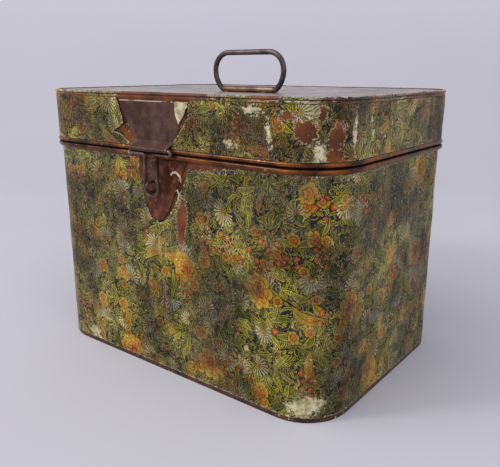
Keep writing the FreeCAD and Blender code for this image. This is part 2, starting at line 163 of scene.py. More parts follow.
def plan_run(x, y):
    """Distance round the trunk's plan, from the middle of the back past the left side."""
    sx, sy = HALF_WIDTH - CORNER, HALF_DEPTH - CORNER
    bend = math.pi / 2 * CORNER
    if y > sy and -sx <= x <= 0:
        return -x
    if x < -sx and y > sy:
        return sx + CORNER * math.atan2(-sx - x, y - sy)
    if x < -sx and y >= -sy:
        return sx + bend + sy - y
    if x < -sx:
        return sx + bend + 2 * sy + CORNER * math.atan2(-sy - y, -sx - x)
    if y < -sy and x <= sx:
        return 2 * sx + 2 * bend + 2 * sy + x
    if y < -sy:
        return 3 * sx + 2 * bend + 2 * sy + CORNER * math.atan2(x - sx, -sy - y)
    if x > sx and y <= sy:
        return 3 * sx + 3 * bend + 3 * sy + y
    if x > sx:
        return 3 * sx + 3 * bend + 4 * sy + CORNER * math.atan2(y - sy, x - sx)
    return 4 * sx + 4 * bend + 4 * sy - x


WHOLE_RUN = 4 * (HALF_WIDTH - CORNER) + 4 * (HALF_DEPTH - CORNER) + 2 * math.pi * CORNER


def face_outwards(obj):
    """Turns an open skin's faces round if they point into the trunk."""
    total = 0.0
    for face in obj.data.polygons:
        middle = face.center
        total += face.normal.x * middle.x + face.normal.y * middle.y
    if total < 0:
        edit(obj)
        bpy.ops.mesh.flip_normals()
        done()


def apply_modifier(obj, kind, **settings):
    pick(obj)
    modifier = obj.modifiers.new(kind.lower(), kind)
    for name, value in settings.items():
        setattr(modifier, name, value)
    bpy.ops.object.modifier_apply(modifier=modifier.name)


def cloud(name, size, depth=1):
    made = bpy.data.textures.new(name, "CLOUDS")
    made.noise_scale = size
    made.noise_depth = depth
    made.noise_basis = "BLENDER_ORIGINAL"
    return made


def ripple(obj, name, size, height, level):
    """Gentle bumps, pushed out along the faces' normals."""
    apply_modifier(obj, "DISPLACE", texture=cloud(name, size, 2), strength=height,
                   mid_level=level, texture_coords="LOCAL")


def torn_outline(corners, seed, rough, piece=0.0022):
    """Points along a closed outline, pushed in and out by chance as torn paper is."""
    chance = random.Random(seed)
    points = []
    for here, after in zip(corners, corners[1:] + corners[:1]):
        length = math.dist(here, after)
        count = max(2, round(length / piece))
        nx, ny = (after[1] - here[1]) / length, (here[0] - after[0]) / length
        slow = chance.uniform(-1, 1)
        for i in range(count):
            share = i / count
            slow = 0.72 * slow + 0.28 * chance.uniform(-1, 1) * 2.2
            taper = min(1, 4 * share, 4 * (1 - share) + 0.3)
            push = rough * (slow + 0.35 * chance.uniform(-1, 1)) * taper
            points.append((here[0] + (after[0] - here[0]) * share + nx * push,
                           here[1] + (after[1] - here[1]) * share + ny * push))
    return points


def prism(name, outline, near, far):
    """Upright block from an outline in x and z, from y = near to y = far."""
    obj = drawn_line(name, [(x, near, z) for x, z in outline])
    bpy.ops.mesh.select_all(action="SELECT")
    bpy.ops.mesh.edge_face_add()
    bpy.ops.mesh.extrude_region_move(TRANSFORM_OT_translate={"value": (0, far - near, 0)})
    bpy.ops.mesh.select_all(action="SELECT")
    bpy.ops.mesh.normals_make_consistent(inside=False)
    return done()


def cut_out(obj, cutter, operation="DIFFERENCE"):
    """Cuts a piece with another, which is used up."""
    apply_modifier(obj, "BOOLEAN", object=cutter, operation=operation, solver="EXACT")
    bpy.data.objects.remove(cutter)


def lay_print(obj):
    """UV map 'run': distance round the plan and height, in metres."""
    mesh = obj.data
    layer = mesh.uv_layers.get("run") or mesh.uv_layers.new(name="run")
    runs = [plan_run(v.co.x, v.co.y) for v in mesh.vertices]
    for face in mesh.polygons:
        values = [runs[mesh.loops[i].vertex_index] for i in face.loop_indices]
        crossing = max(values) - min(values) > WHOLE_RUN / 2
        for i, value in zip(face.loop_indices, values):
            if crossing and value < WHOLE_RUN / 2:
                value += WHOLE_RUN
            layer.data[i].uv = (value, mesh.vertices[mesh.loops[i].vertex_index].co.z)


def patch_value(run, z, patches):
    """Wear at a place: a patch's strength in its middle, half of it on its outline."""
    best = 0.0
    for centre, height, reach_run, reach_z, lean, strength in patches:
        dr, dz = run - centre, z - height
        c, s = math.cos(math.radians(lean)), math.sin(math.radians(lean))
        u, v = (dr * c + dz * s) / reach_run, (dz * c - dr * s) / reach_z
        best = max(best, strength * (1 - 0.5 * math.hypot(u, v)))
    return max(0.0, best)


def outline_gap(x, z, outline):
    """Shortest distance from a place on the front to a closed outline."""
    best = 1.0
    for (x0, z0), (x1, z1) in zip(outline, outline[1:] + outline[:1]):
        dx, dz = x1 - x0, z1 - z0
        share = min(1.0, max(0.0, ((x - x0) * dx + (z - z0) * dz) / (dx * dx + dz * dz)))
        best = min(best, math.hypot(x - x0 - share * dx, z - z0 - share * dz))
    return best


def wear_map(obj, name, patches, rims=(), outlines=()):
    """Point attribute that is 0.5 at a worn patch's edge and higher inside it."""
    mesh = obj.data
    values = mesh.attributes.get(name) or mesh.attributes.new(name, "FLOAT", "POINT")
    for i, vertex in enumerate(mesh.vertices):
        x, y, z = vertex.co
        run = plan_run(x, y)
        value = patch_value(run, z, patches)
        for level, reach, strength in rims:
            value = max(value, strength * (1 - abs(z - level) / reach))
        for outline, reach, strength in outlines:
            if y < 0:
                value = max(value, strength * (1 - outline_gap(x, z, outline) / reach))
        values.data[i].value = value


def smooth(obj, degrees=35):
    """Smooth shading, with edges sharper than the angle kept."""
    pick(obj)
    bpy.ops.object.shade_smooth_by_angle(angle=math.radians(degrees))


# Shader helpers

def hue(red, green, blue):
    """Colour from 0 to 255 screen values."""
    def linear(value):
        value /= 255
        return value / 12.92 if value <= 0.04045 else ((value + 0.055) / 1.055) ** 2.4
    return (linear(red), linear(green), linear(blue), 1.0)


class Current:
    """The node tree that the helpers below add to: the last group or material begun."""
    tree = None


def feed(socket, value):
    """Links a socket to an output, or sets it to a plain value."""
    if isinstance(value, bpy.types.NodeSocket):
        Current.tree.links.new(value, socket)
    else:
        socket.default_value = value


def feed_all(node, inputs):
    for key, value in inputs.items():
        feed(node.inputs[key], value)


def add(kind, inputs=None, **settings):
    made = Current.tree.nodes.new("ShaderNode" + kind)
    for name, value in settings.items():
        setattr(made, name, value)
    feed_all(made, inputs or {})
    return made


def calc(operation, *values, clamp=False):
    made = add("Math", operation=operation, use_clamp=clamp)
    for socket, value in zip(made.inputs, values):
        feed(socket, value)
    return made.outputs[0]


def times(first, second):
    return calc("MULTIPLY", first, second)


def plus(first, second):
    return calc("ADD", first, second)


def minus(first, second):
    return calc("SUBTRACT", first, second)


def unsigned(value):
    return calc("ABSOLUTE", value)


def vector_calc(operation, first, second):
    return add("VectorMath", {0: first, 1: second}, operation=operation).outputs[0]


def scaled(vector, scale):
    return vector_calc("MULTIPLY", vector, scale)


def step(value, low, high, to_low=0.0, to_high=1.0):
    """Smooth step from one level to another."""
    return add("MapRange", {"Value": value, "From Min": low, "From Max": high,
                            "To Min": to_low, "To Max": to_high},
               interpolation_type="SMOOTHSTEP").outputs[0]


def blend(share, first, second, mode="MIX"):
    made = add("Mix", data_type="RGBA", blend_type=mode)
    feed(made.inputs[0], share)
    feed(made.inputs[6], first)
    feed(made.inputs[7], second)
    return made.outputs[2]


def noise(vector, scale, detail=2.0, rough=0.5, distortion=0.0, dimensions="3D"):
    """Noise value, about 0.5 on average."""
    return add("TexNoise", {"Vector": vector, "Scale": scale, "Detail": detail,
                            "Roughness": rough, "Distortion": distortion},
               noise_dimensions=dimensions).outputs[0]


def flat_noise(vector, scale, detail=2.0, rough=0.5, distortion=0.0):
    """The same in two dimensions, for places on the unrolled paper."""
    return noise(vector, scale, detail, rough, distortion, "2D")


def stretched_noise(vector, across, up, detail, rough, distortion=0.0):
    """Flat noise with a scale of its own across and up."""
    place = scaled(vector, (across, up, 0.0))
    return flat_noise(place, 1.0, detail, rough, distortion)


def object_place():
    """Place in the part's own frame, in metres."""
    return add("TexCoord").outputs["Object"]


def height_at(place):
    return add("SeparateXYZ", {"Vector": place}).outputs["Z"]


# Kinds of the groups' sockets that aren't plain numbers
KINDS = {"Vector": "Vector", "Color": "Color", "Dark": "Color", "Light": "Color"}


def group(name, inputs, outputs):
    """Begins a node group whose sockets are named in two strings."""
    tree = Current.tree = bpy.data.node_groups.new(name, "ShaderNodeTree")
    for way, labels in (("INPUT", inputs), ("OUTPUT", outputs)):
        for label in labels.split():
            kind = "NodeSocket" + KINDS.get(label, "Float")
            tree.interface.new_socket(label, in_out=way, socket_type=kind)
    entry = tree.nodes.new("NodeGroupInput")
    leave = tree.nodes.new("NodeGroupOutput")
    return entry.outputs, leave


def close(leave, **results):
    """Ends a node group: what it puts out."""
    feed_all(leave, results)
    return Current.tree


def use(made_group, **inputs):
    return add("Group", inputs, node_tree=made_group).outputs


def motif(shape, spot, **inputs):
    """A motif's masks in the cells of a scatter."""
    return use(shape, X=spot["X"], Y=spot["Y"], **inputs)


# Print: groups that draw one motif in each cell of a loose grid, in print units

def motif_cells_group():
    """Place inside the nearest cell, turned by chance, and two chance values of the cell."""
    given, out = group("motif_cells", "Vector Cell Shift Looseness", "X Y Chance Tint")
    grow = calc("DIVIDE", 1.0, given["Cell"])
    place = add("VectorMath", operation="SCALE")
    feed_all(place, {0: given["Vector"], "Scale": grow})
    up = times(given["Shift"], 1.7)
    shift = add("CombineXYZ", {"X": given["Shift"], "Y": up}).outputs[0]
    place = vector_calc("ADD", place.outputs[0], shift)
    cell = add("TexVoronoi", {"Vector": place, "Scale": 1.0, "Randomness": given["Looseness"]},
               voronoi_dimensions="2D", feature="F1")
    parts = add("SeparateColor", {"Color": cell.outputs["Color"]})
    local = vector_calc("SUBTRACT", place, cell.outputs["Position"])
    angle = times(parts.outputs[0], 2 * math.pi)
    turned = add("VectorRotate", {"Vector": local, "Angle": angle}, rotation_type="Z_AXIS")
    local = add("SeparateXYZ", {"Vector": turned.outputs[0]})
    return close(out, X=times(local.outputs[0], given["Cell"]),
                 Y=times(local.outputs[1], given["Cell"]), Chance=parts.outputs[1],
                 Tint=parts.outputs[2])


def leaf_group():
    """Pointed, bent leaf along X: its mask, the line round it, its rim and its vein."""
    given, out = group("leaf", "X Y Length Width Bend", "Mask Halo Rim Vein")
    along = calc("DIVIDE", given["X"], given["Length"])
    square = times(along, along)
    y = minus(given["Y"], times(given["Bend"], square))
    side = unsigned(y)
    taper = times(given["Width"], minus(1.0, square))
    deep = minus(taper, side)
    return close(out, Mask=step(deep, 0.0, 0.22), Halo=step(deep, -0.75, -0.35),
                 Rim=step(deep, 0.65, 0.25), Vein=step(side, 0.32, 0.08))


def polar(given):
    """Distance and angle of the X and Y inputs."""
    radius = calc("SQRT", plus(times(given["X"], given["X"]), times(given["Y"], given["Y"])))
    return radius, calc("ARCTAN2", given["Y"], given["X"])


def blossom_group():
    """Round flower with notched petals: mask, line round it, distance out, petal lines."""
    given, out = group("blossom", "X Y Petals Radius Notch", "Mask Halo Out Line Ray")
    radius, angle = polar(given)
    half_turn = times(angle, times(given["Petals"], 0.5))
    petal = unsigned(calc("COSINE", half_turn))
    petal = calc("POWER", petal, 0.6)
    notch = times(given["Notch"], minus(1.0, petal))
    edge = times(given["Radius"], minus(1.0, notch))
    deep = minus(edge, radius)
    return close(out, Mask=step(deep, 0.0, 0.3), Halo=step(deep, -0.8, -0.4),
                 Out=calc("DIVIDE", radius, given["Radius"]), Line=step(petal, 0.42, 0.22),
                 Ray=unsigned(calc("SINE", times(half_turn, 5.0))))


def tendril_group():
    """Spiral tendril round the cell's middle."""
    given, out = group("tendril", "X Y Pitch Radius", "Mask")
    radius, angle = polar(given)
    turn = plus(calc("DIVIDE", angle, 2 * math.pi), calc("DIVIDE", radius, given["Pitch"]))
    off = unsigned(minus(calc("FRACT", turn), 0.5))
    line = step(times(off, given["Pitch"]), 0.42, 0.2)
    within = step(minus(given["Radius"], radius), 0.0, 0.6)
    return close(out, Mask=times(line, within))


def fan_group():
    """Wide fan of fine spikes: its mask, its pale lines and its heart."""
    given, out = group("fan", "X Y Spikes Radius", "Mask Line Heart")
    radius, angle = polar(given)
    wide = step(unsigned(angle), 2.25, 2.05)
    half_turn = times(angle, times(given["Spikes"], 0.5))
    spike = unsigned(calc("COSINE", half_turn))
    reach = minus(plus(0.72, times(spike, 0.28)), times(unsigned(angle), 0.12))
    reach = times(given["Radius"], reach)
    mask = times(wide, step(minus(reach, radius), 0.0, 0.3))
    ring = unsigned(calc("SINE", times(radius, 1.45)))
    line = calc("MAXIMUM", step(spike, 0.55, 0.85), step(ring, 0.3, 0.12, 0.0, 0.6))
    heart = step(calc("DIVIDE", radius, given["Radius"]), 0.3, 0.25)
    return close(out, Mask=mask, Line=line, Heart=heart)


motif_cells = motif_cells_group()
leaf = leaf_group()
blossom = blossom_group()
tendril = tendril_group()
fan = fan_group()


def flower(colour, spot, here, rings):
    """Flower of rings of petals: radius, petals, inner colour, outer colour."""
    for radius, petals, inner, outer in rings:
        shape = motif(blossom, spot, Petals=petals, Radius=radius, Notch=0.26)
        edge = times(times(shape["Halo"], here), 0.7)
        colour = blend(edge, colour, hue(50, 44, 34))
        tint = blend(step(shape["Out"], 0.3, 1.0), inner, outer)
        tint = blend(step(shape["Ray"], 0.35, 0.1, 0.0, 0.4), tint, hue(118, 74, 40))
        tint = blend(times(shape["Line"], 0.5), tint, hue(94, 70, 38))
        colour = blend(times(shape["Mask"], here), colour, tint)
    return colour


NAVY = hue(20, 25, 60)
INK = hue(20, 22, 30)


def print_group():
    """All-over botanical print. Vector is in print units round and up the trunk."""
    given, out = group("botanical_print", "Vector", "Color")
    flow = add("TexNoise", {"Vector": given["Vector"], "Scale": 0.03, "Detail": 1.0},
               noise_dimensions="2D").outputs["Color"]
    flow = scaled(vector_calc("SUBTRACT", flow, (0.5, 0.5, 0.5)), (9.0, 9.0, 0.0))
    place = vector_calc("ADD", given["Vector"], flow)
    colour = blend(step(flat_noise(place, 0.35, 3.0), 0.45, 0.62), NAVY, hue(26, 38, 44))

    def scatter(cell, shift, looseness=0.6):
        return use(motif_cells, Vector=place, Cell=cell, Shift=shift, Looseness=looseness)

    def shown(spot, low, high=1.0):
        here = step(spot["Chance"], low, low + 0.01)
        if high < 1:
            here = times(here, step(spot["Chance"], high, high - 0.01))
        return here

    for cell, shift, pitch, tint in ((13.0, 3.1, 3.1, hue(166, 150, 50)),
                                     (16.0, 8.4, 3.6, hue(128, 126, 48))):
        spot = scatter(cell, shift, 0.7)
        curl = motif(tendril, spot, Pitch=pitch, Radius=cell * 0.47)
        colour = blend(curl["Mask"], colour, tint)

    # cell, shift, length, width, bend, rarity, dark, light, rim
    greens = (
        (4.6, 1.3, 2.5, 0.85, 0.5, 0.35, hue(54, 70, 22), hue(150, 146, 30), hue(232, 208, 72)),
        (5.9, 5.7, 3.1, 1.05, -0.7, 0.35, hue(58, 80, 26), hue(132, 146, 34), hue(222, 208, 84)),
        (8.4, 9.2, 4.6, 1.4, 1.1, 0.35, hue(42, 66, 32), hue(112, 130, 36), hue(218, 204, 84)),
        (12.5, 2.6, 6.6, 1.9, 1.9, 0.3, hue(48, 68, 30), hue(140, 146, 40), hue(230, 214, 104)),
        (17.5, 6.9, 9.0, 2.6, 3.0, 0.4, hue(52, 72, 34), hue(120, 128, 46), hue(222, 204, 108)),
    )
    for cell, shift, length, width, bend, rarity, dark, light, rim in greens:
        spot = scatter(cell, shift)
        shape = motif(leaf, spot, Length=length, Width=width, Bend=bend)
        here = shown(spot, rarity)
        colour = blend(times(shape["Halo"], here), colour, INK)
        tint = blend(spot["Tint"], dark, light)
        paler = times(shape["Rim"], step(spot["Tint"], 0.0, 0.6, 0.3, 0.85))
        tint = blend(paler, tint, rim)
        tint = blend(times(shape["Vein"], 0.7), tint, hue(30, 40, 32))
        colour = blend(times(shape["Mask"], here), colour, tint)

    # cell, shift, fan radius, spikes, leaf length, bend, flower radius, petals
    mixed = (
        (38.0, 7.7, 12.5, 21.0, 15.5, 5.2, 6.2, 6.0),
        (31.0, 15.2, 10.5, 17.0, 12.0, -4.0, 7.0, 5.0),
        (25.0, 12.8, 8.5, 15.0, 9.0, 2.8, 4.8, 6.0),
    )
    for cell, shift, fan_radius, spikes, length, bend, radius, petals in mixed:
        spot = scatter(cell, shift, 0.5)
        shape = motif(fan, spot, Spikes=spikes, Radius=fan_radius)
        pale = blend(spot["Tint"], hue(156, 164, 174), hue(208, 202, 176))
        tint = blend(shape["Line"], hue(44, 50, 64), pale)
        tint = blend(shape["Heart"], tint, hue(150, 112, 60))
        colour = blend(times(shape["Mask"], shown(spot, 0.0, 0.26)), colour, tint)

        shape = motif(leaf, spot, Length=length, Width=length * 0.3, Bend=bend)
        here = shown(spot, 0.3, 0.46)
        colour = blend(times(shape["Halo"], here), colour, INK)
        along = step(spot["X"], -length * 0.7, length * 0.8)
        tint = blend(along, hue(176, 158, 70), hue(188, 116, 48))
        barb = plus(times(spot["X"], 2.3), times(unsigned(spot["Y"]), 1.6))
        barb = unsigned(calc("SINE", barb))
        tint = blend(step(barb, 0.5, 0.15, 0.0, 0.8), tint, hue(112, 78, 36))
        tint = blend(times(shape["Vein"], 0.9), tint, hue(70, 62, 36))
        tint = blend(times(shape["Rim"], 0.6), tint, hue(218, 190, 108))
        colour = blend(times(shape["Mask"], here), colour, tint)

        colour = flower(colour, spot, shown(spot, 0.62, 0.84), (
            (radius, petals, hue(150, 108, 46), hue(196, 162, 84)),
            (radius * 0.46, 5.0, hue(176, 92, 48), hue(202, 150, 84))))

    # cell, shift, rarity, rings of the flower
    flowers = (
        (24.0, 10.3, 0.6, ((4.2, 5.0, hue(152, 112, 58), hue(186, 154, 88)),
                           (1.6, 5.0, hue(150, 78, 42), hue(190, 90, 48)))),
        (78.0, 13.6, 0.4, ((13.0, 8.0, hue(158, 114, 48), hue(200, 164, 76)),
                           (9.0, 8.0, hue(176, 108, 48), hue(206, 162, 82)),
                           (5.2, 6.0, hue(196, 84, 46), hue(204, 130, 76)),
                           (2.1, 6.0, hue(84, 66, 40), hue(190, 156, 84)))),
    )
    for cell, shift, rarity, rings in flowers:
        spot = scatter(cell, shift, 0.5)
        colour = flower(colour, spot, shown(spot, rarity), rings)

    # Small berries in clusters, and pale contour lines over all of it
    spot = scatter(7.0, 4.9, 0.5)
    shape = motif(blossom, spot, Petals=4.0, Radius=2.6, Notch=0.22)
    here = shown(spot, 0.4)
    cluster = flat_noise(given["Vector"], 0.028, 1.0)
    here = times(here, step(cluster, 0.64, 0.67))
    colour = blend(times(shape["Halo"], here), colour, INK)
    tint = blend(step(shape["Out"], 0.15, 0.45), hue(208, 150, 92), hue(178, 84, 48))
    colour = blend(times(shape["Mask"], here), colour, tint)
    contour = flat_noise(place, 0.085, 2.0, 0.5, 0.7)
    contour = unsigned(calc("SINE", times(contour, 62.0)))
    some = step(flat_noise(place, 0.05, 2.0), 0.46, 0.56, 0.0, 0.9)
    contour = times(step(contour, 0.32, 0.12), some)
    colour = blend(contour, colour, hue(238, 232, 190))
    return close(out, Color=colour)


# Ageing: groups that more than one finish uses

def lacquer_group():
    """Old brown lacquer over tin plate. Vector is in metres."""
    given, out = group("old_lacquer", "Vector Dark Light", "Color Roughness Height")
    place = given["Vector"]
    cloudy = noise(place, 38.0, 4.0, 0.6)
    speck = noise(place, 420.0, 3.0, 0.65)
    colour = blend(step(cloudy, 0.34, 0.68), given["Dark"], given["Light"])
    colour = blend(step(speck, 0.6, 0.72, 0.0, 0.7), colour, hue(38, 24, 18))
    colour = blend(step(speck, 0.34, 0.26, 0.0, 0.6), colour, hue(196, 128, 56))
    return close(out, Color=colour, Roughness=step(cloudy, 0.3, 0.7, 0.24, 0.44),
                 Height=times(speck, 0.5))


def bare_iron_group():
    """Bare, browned iron or tin plate. Vector is in metres."""
    given, out = group("browned_metal", "Vector Dark Light Rust", "Color Roughness Height Metal")
    place = given["Vector"]
    cloudy = noise(place, 55.0, 5.0, 0.6, 0.4)
    fine = noise(place, 700.0, 3.0, 0.6)
    rust = noise(place, 130.0, 4.0, 0.7)
    level = minus(0.75, times(given["Rust"], 0.4))
    rusted = step(rust, level, plus(level, 0.1))
    colour = blend(step(cloudy, 0.35, 0.66), given["Dark"], given["Light"])
    colour = blend(step(fine, 0.58, 0.7, 0.0, 0.5), colour, hue(38, 28, 24))
    colour = blend(times(rusted, 0.8), colour, hue(112, 60, 32))
    return close(out, Color=colour,
                 Roughness=plus(step(cloudy, 0.3, 0.7, 0.52, 0.38), times(rusted, 0.25)),
                 Height=plus(times(fine, 0.4), rusted), Metal=minus(0.75, times(rusted, 0.6)))


def grime_and_sheen_group():
    """Handling dirt, dull varnish bloom with a painted glare, and a painted sheen over a printed
    surface. Vector is in millimetres.
    """
    given, out = group("grime_and_sheen", "Vector Color Dirt Bloom", "Color Roughness")
    place, colour = given["Vector"], given["Color"]
    blotch = flat_noise(place, 0.018, 4.0, 0.55)
    streak = stretched_noise(place, 0.16, 0.012, 3.0, 0.6)
    fine = flat_noise(place, 1.6, 2.0, 0.6)
    dirty = plus(times(blotch, 0.75), times(streak, 0.25))
    dirty = times(step(dirty, 0.44, 0.62), given["Dirt"])
    colour = blend(dirty, colour, blend(1.0, colour, hue(122, 108, 88), "MULTIPLY"))
    # Pale film: dull varnish bloom, partly a painted glare on the varnish
    cloudy = step(flat_noise(place, 0.016, 3.0, 0.5), 0.52, 0.66)
    bright_mask = step(stretched_noise(place, 0.24, 0.18, 4.0, 0.65, 1.6), 0.46, 0.58)
    glare_film = times(times(cloudy, bright_mask), given["Bloom"])
    colour = blend(glare_film, colour, hue(150, 144, 122))
    colour = blend(step(fine, 0.62, 0.75, 0.0, 0.35), colour, hue(30, 28, 24))
    # Painted sheen: pale patches that stand for light on the varnish
    sheen = stretched_noise(place, 0.42, 0.22, 4.0, 0.7, 1.8)
    colour = blend(step(sheen, 0.6, 0.66, 0.0, 0.4), colour, hue(196, 192, 160))
    return close(out, Color=colour,
                 Roughness=plus(step(blotch, 0.35, 0.65, 0.34, 0.5), times(cloudy, 0.1)))


def worn_edge_group():
    """Turns a soft wear value into a ragged patch with a paper-coloured rim."""
    given, out = group("ragged_wear", "Vector Wear Rim", "Patch Edge")
    place, rim = given["Vector"], given["Rim"]
    broad = times(minus(flat_noise(place, 0.22, 4.0, 0.65), 0.5), 0.9)
    fine = times(minus(flat_noise(place, 1.3, 2.0, 0.6), 0.5), 0.25)
    level = plus(given["Wear"], plus(broad, fine))
    patch = step(level, 0.5, 0.53)
    wide = step(level, minus(0.5, rim), minus(0.53, rim))
    chips = step(flat_noise(place, 0.6, 3.0, 0.6), 0.44, 0.52)
    return close(out, Patch=patch, Edge=times(calc("SUBTRACT", wide, patch, clamp=True), chips))


botanical_print = print_group()
old_lacquer = lacquer_group()
browned_metal = bare_iron_group()
grime_and_sheen = grime_and_sheen_group()
ragged_wear = worn_edge_group()


# Finishes

def new_material(name):
    made = bpy.data.materials.new(name)
    made.use_nodes = True
    Current.tree = made.node_tree
    return made, Current.tree.nodes["Principled BSDF"]


def bump(height, distance):
    """Normal of a surface with a height, which is distance metres where the height is 1."""
    return add("Bump", {"Height": height, "Distance": distance}).outputs[0]


def worn(name, place, rim):
    """Ragged patches where the point attribute of that name is high."""
    wear = add("Attribute", attribute_name=name).outputs["Fac"]
    return use(ragged_wear, Vector=place, Wear=wear, Rim=rim)


def printed_paper(name, dirt, bloom, varnish, gloss):
    """Varnished print; its core shows where it is torn, and the tin where it is bare."""
    made, shader = new_material(name)
    uv = add("UVMap", uv_map="run").outputs[0]
    flat = scaled(uv, FLAT_MM)
    printed = use(botanical_print, Vector=scaled(uv, PRINT_UNITS))["Color"]
    amber = step(flat_noise(flat, 0.014, 3.0), 0.35, 0.65)
    amber = blend(amber, varnish, hue(250, 240, 198))
    printed = blend(1.0, printed, amber, "MULTIPLY")
    printed = add("HueSaturation", {"Saturation": 1.18, "Color": printed}).outputs[0]
    aged = use(grime_and_sheen, Vector=flat, Color=printed, Dirt=dirt, Bloom=bloom)
    torn = worn("torn", flat, 0.05)
    bare = worn("bare", vector_calc("ADD", flat, (37.0, 11.0, 0.0)), 0.07)
    metal = use(old_lacquer, Vector=object_place(), Dark=hue(78, 40, 18), Light=hue(132, 68, 30))
    backing = step(flat_noise(flat, 0.16, 3.0, 0.6), 0.35, 0.62)
    backing = blend(backing, hue(158, 150, 98), hue(212, 202, 166))
    left = step(flat_noise(flat, 1.1, 3.0, 0.6), 0.6, 0.66, 0.0, 0.6)
    backing = blend(left, backing, aged["Color"])
    colour = blend(torn["Patch"], aged["Color"], backing)
    colour = blend(times(torn["Edge"], 0.5), colour, hue(214, 206, 176))
    colour = blend(times(bare["Edge"], 0.8), colour, hue(208, 198, 164))
    colour = blend(bare["Patch"], colour, metal["Color"])
    scratch = stretched_noise(flat, 0.9, 0.07, 2.0, 0.5, 2.0)
    scratch = step(unsigned(minus(scratch, 0.5)), 0.009, 0.002)
    some = step(flat_noise(flat, 0.03, 2.0), 0.55, 0.62)
    scratch = times(times(scratch, some), 0.7)
    colour = blend(scratch, colour, hue(188, 176, 150))
    rough = plus(aged["Roughness"], times(torn["Patch"], 0.3))
    wrinkle = stretched_noise(flat, 0.12, 0.03, 4.0, 0.6, 0.6)
    grain = flat_noise(flat, 1.2, 3.0, 0.6)
    height = plus(wrinkle, times(grain, 0.1))
    lost = calc("MAXIMUM", torn["Patch"], bare["Patch"])
    height = minus(height, times(lost, 0.35))
    feed_all(shader, {
        "Base Color": colour, "Roughness": rough, "Specular IOR Level": 0.15,
        "Coat Roughness": 0.1, "Coat Weight": gloss, "Normal": bump(height, 0.001)})
    return made


def lacquered_tin(name, dark, light, metallic):
    """Lacquer with painted shade in the groove between the two beads and pale chips along them.
    """
    made, shader = new_material(name)
    place = object_place()
    coat = use(old_lacquer, Vector=place, Dark=dark, Light=light)
    height = height_at(place)
    # Painted shade: a ragged, near-black band at the groove between the lid's bead and the case's
    # bead
    ragged = times(noise(place, 160.0, 3.0, 0.6), 0.0016)
    groove_shade = unsigned(minus(height, GROOVE_Z))
    groove_shade = step(minus(groove_shade, ragged), 0.0012, -0.0002)
    chip = step(noise(place, 260.0, 3.0, 0.7), 0.6, 0.64, 0.0, 0.85)
    some = step(noise(place, 26.0, 2.0), 0.5, 0.6)
    colour = blend(times(chip, some), coat["Color"], hue(196, 176, 130))
    # the painted shade in the groove, nearly black
    colour = blend(times(groove_shade, 0.92), colour, hue(14, 10, 9))
    feed_all(shader, {
        "Base Color": colour,
        "Roughness": plus(coat["Roughness"], times(groove_shade, 0.5)),
        "Metallic": metallic,
        "Coat Weight": minus(0.12, times(groove_shade, 0.12)),
        "Coat Roughness": 0.1, "Specular IOR Level": 0.2,
        "Normal": bump(coat["Height"], 0.0001)})
    return made


def browned(name, dark, light, rust, highlight_from=None):
    """Browned metal, with a painted highlight above a height where one is given."""
    made, shader = new_material(name)
    place = object_place()
    metal = use(browned_metal, Vector=place, Dark=dark, Light=light, Rust=rust)
    colour = metal["Color"]
    if highlight_from:
        height = height_at(place)
        # Painted highlight: the plate's top edge is painted pale, where it catches the light
        bright_mask = step(height, highlight_from, highlight_from + 0.0004)
        patchy = step(noise(place, 90.0, 3.0, 0.6), 0.36, 0.5)
        colour = blend(times(bright_mask, patchy), colour, hue(200, 178, 158))
    feed_all(shader, {
        "Base Color": colour, "Roughness": metal["Roughness"], "Metallic": metal["Metal"],
        "Normal": bump(metal["Height"], 0.00008)})
    return made


def lid_top_finish(name):
    """Greyed paper with brown stains."""
    made, shader = new_material(name)
    place = scaled(object_place(), SOLID_MM)
    broad = noise(place, 0.012, 4.0, 0.6)
    patchy = noise(place, 0.06, 4.0, 0.65, 0.5)
    fine = noise(place, 0.8, 3.0, 0.6)
    colour = blend(step(broad, 0.36, 0.64), hue(112, 104, 88), hue(150, 144, 132))
    colour = blend(step(patchy, 0.55, 0.68, 0.0, 0.7), colour, hue(96, 78, 58))
    colour = blend(step(fine, 0.6, 0.72, 0.0, 0.5), colour, hue(70, 56, 44))
    rough = step(patchy, 0.35, 0.65, 0.3, 0.45)
    height = plus(times(broad, 2.0), times(patchy, 0.3))
    feed_all(shader, {
        "Base Color": colour, "Roughness": rough, "Coat Weight": 0.3,
        "Coat Roughness": 0.25, "Normal": bump(height, 0.0012)})
    return made


def paper_core(name):
    """Pale, fibrous inside of torn paper."""
    made, shader = new_material(name)
    place = scaled(object_place(), SOLID_MM)
    blotch = noise(place, 0.12, 3.0, 0.6)
    fibre = noise(place, 1.4, 3.0, 0.65)
    colour = blend(step(blotch, 0.4, 0.62), hue(208, 196, 156), hue(150, 140, 96))
    colour = blend(step(fibre, 0.5, 0.7, 0.0, 0.6), colour, hue(118, 104, 70))
    feed_all(shader, {
        "Base Color": colour, "Roughness": step(fibre, 0.3, 0.7, 0.5, 0.75),
        "Normal": bump(fibre, 0.0002)})
    return made


# name, dirt, dull bloom with painted glare, varnish, gloss
case_print = printed_paper("case_printed_paper", 0.6, 0.16, hue(160, 150, 122), 0.1)
band_print = printed_paper("band_printed_paper", 0.8, 0.1, hue(168, 148, 116), 0.3)
lid_print = printed_paper("lid_printed_paper", 0.75, 0.06, hue(170, 138, 86), 0.15)
# name, dark, light, metallic
rim_lacquer = lacquered_tin("rim_lacquer", hue(48, 27, 9), hue(134, 76, 24), 0.6)
seam_lacquer = lacquered_tin("seam_lacquer", hue(44, 34, 28), hue(92, 62, 42), 0.2)
inside_lacquer = lacquered_tin("inside_lacquer", hue(76, 52, 38), hue(100, 70, 48), 0.4)
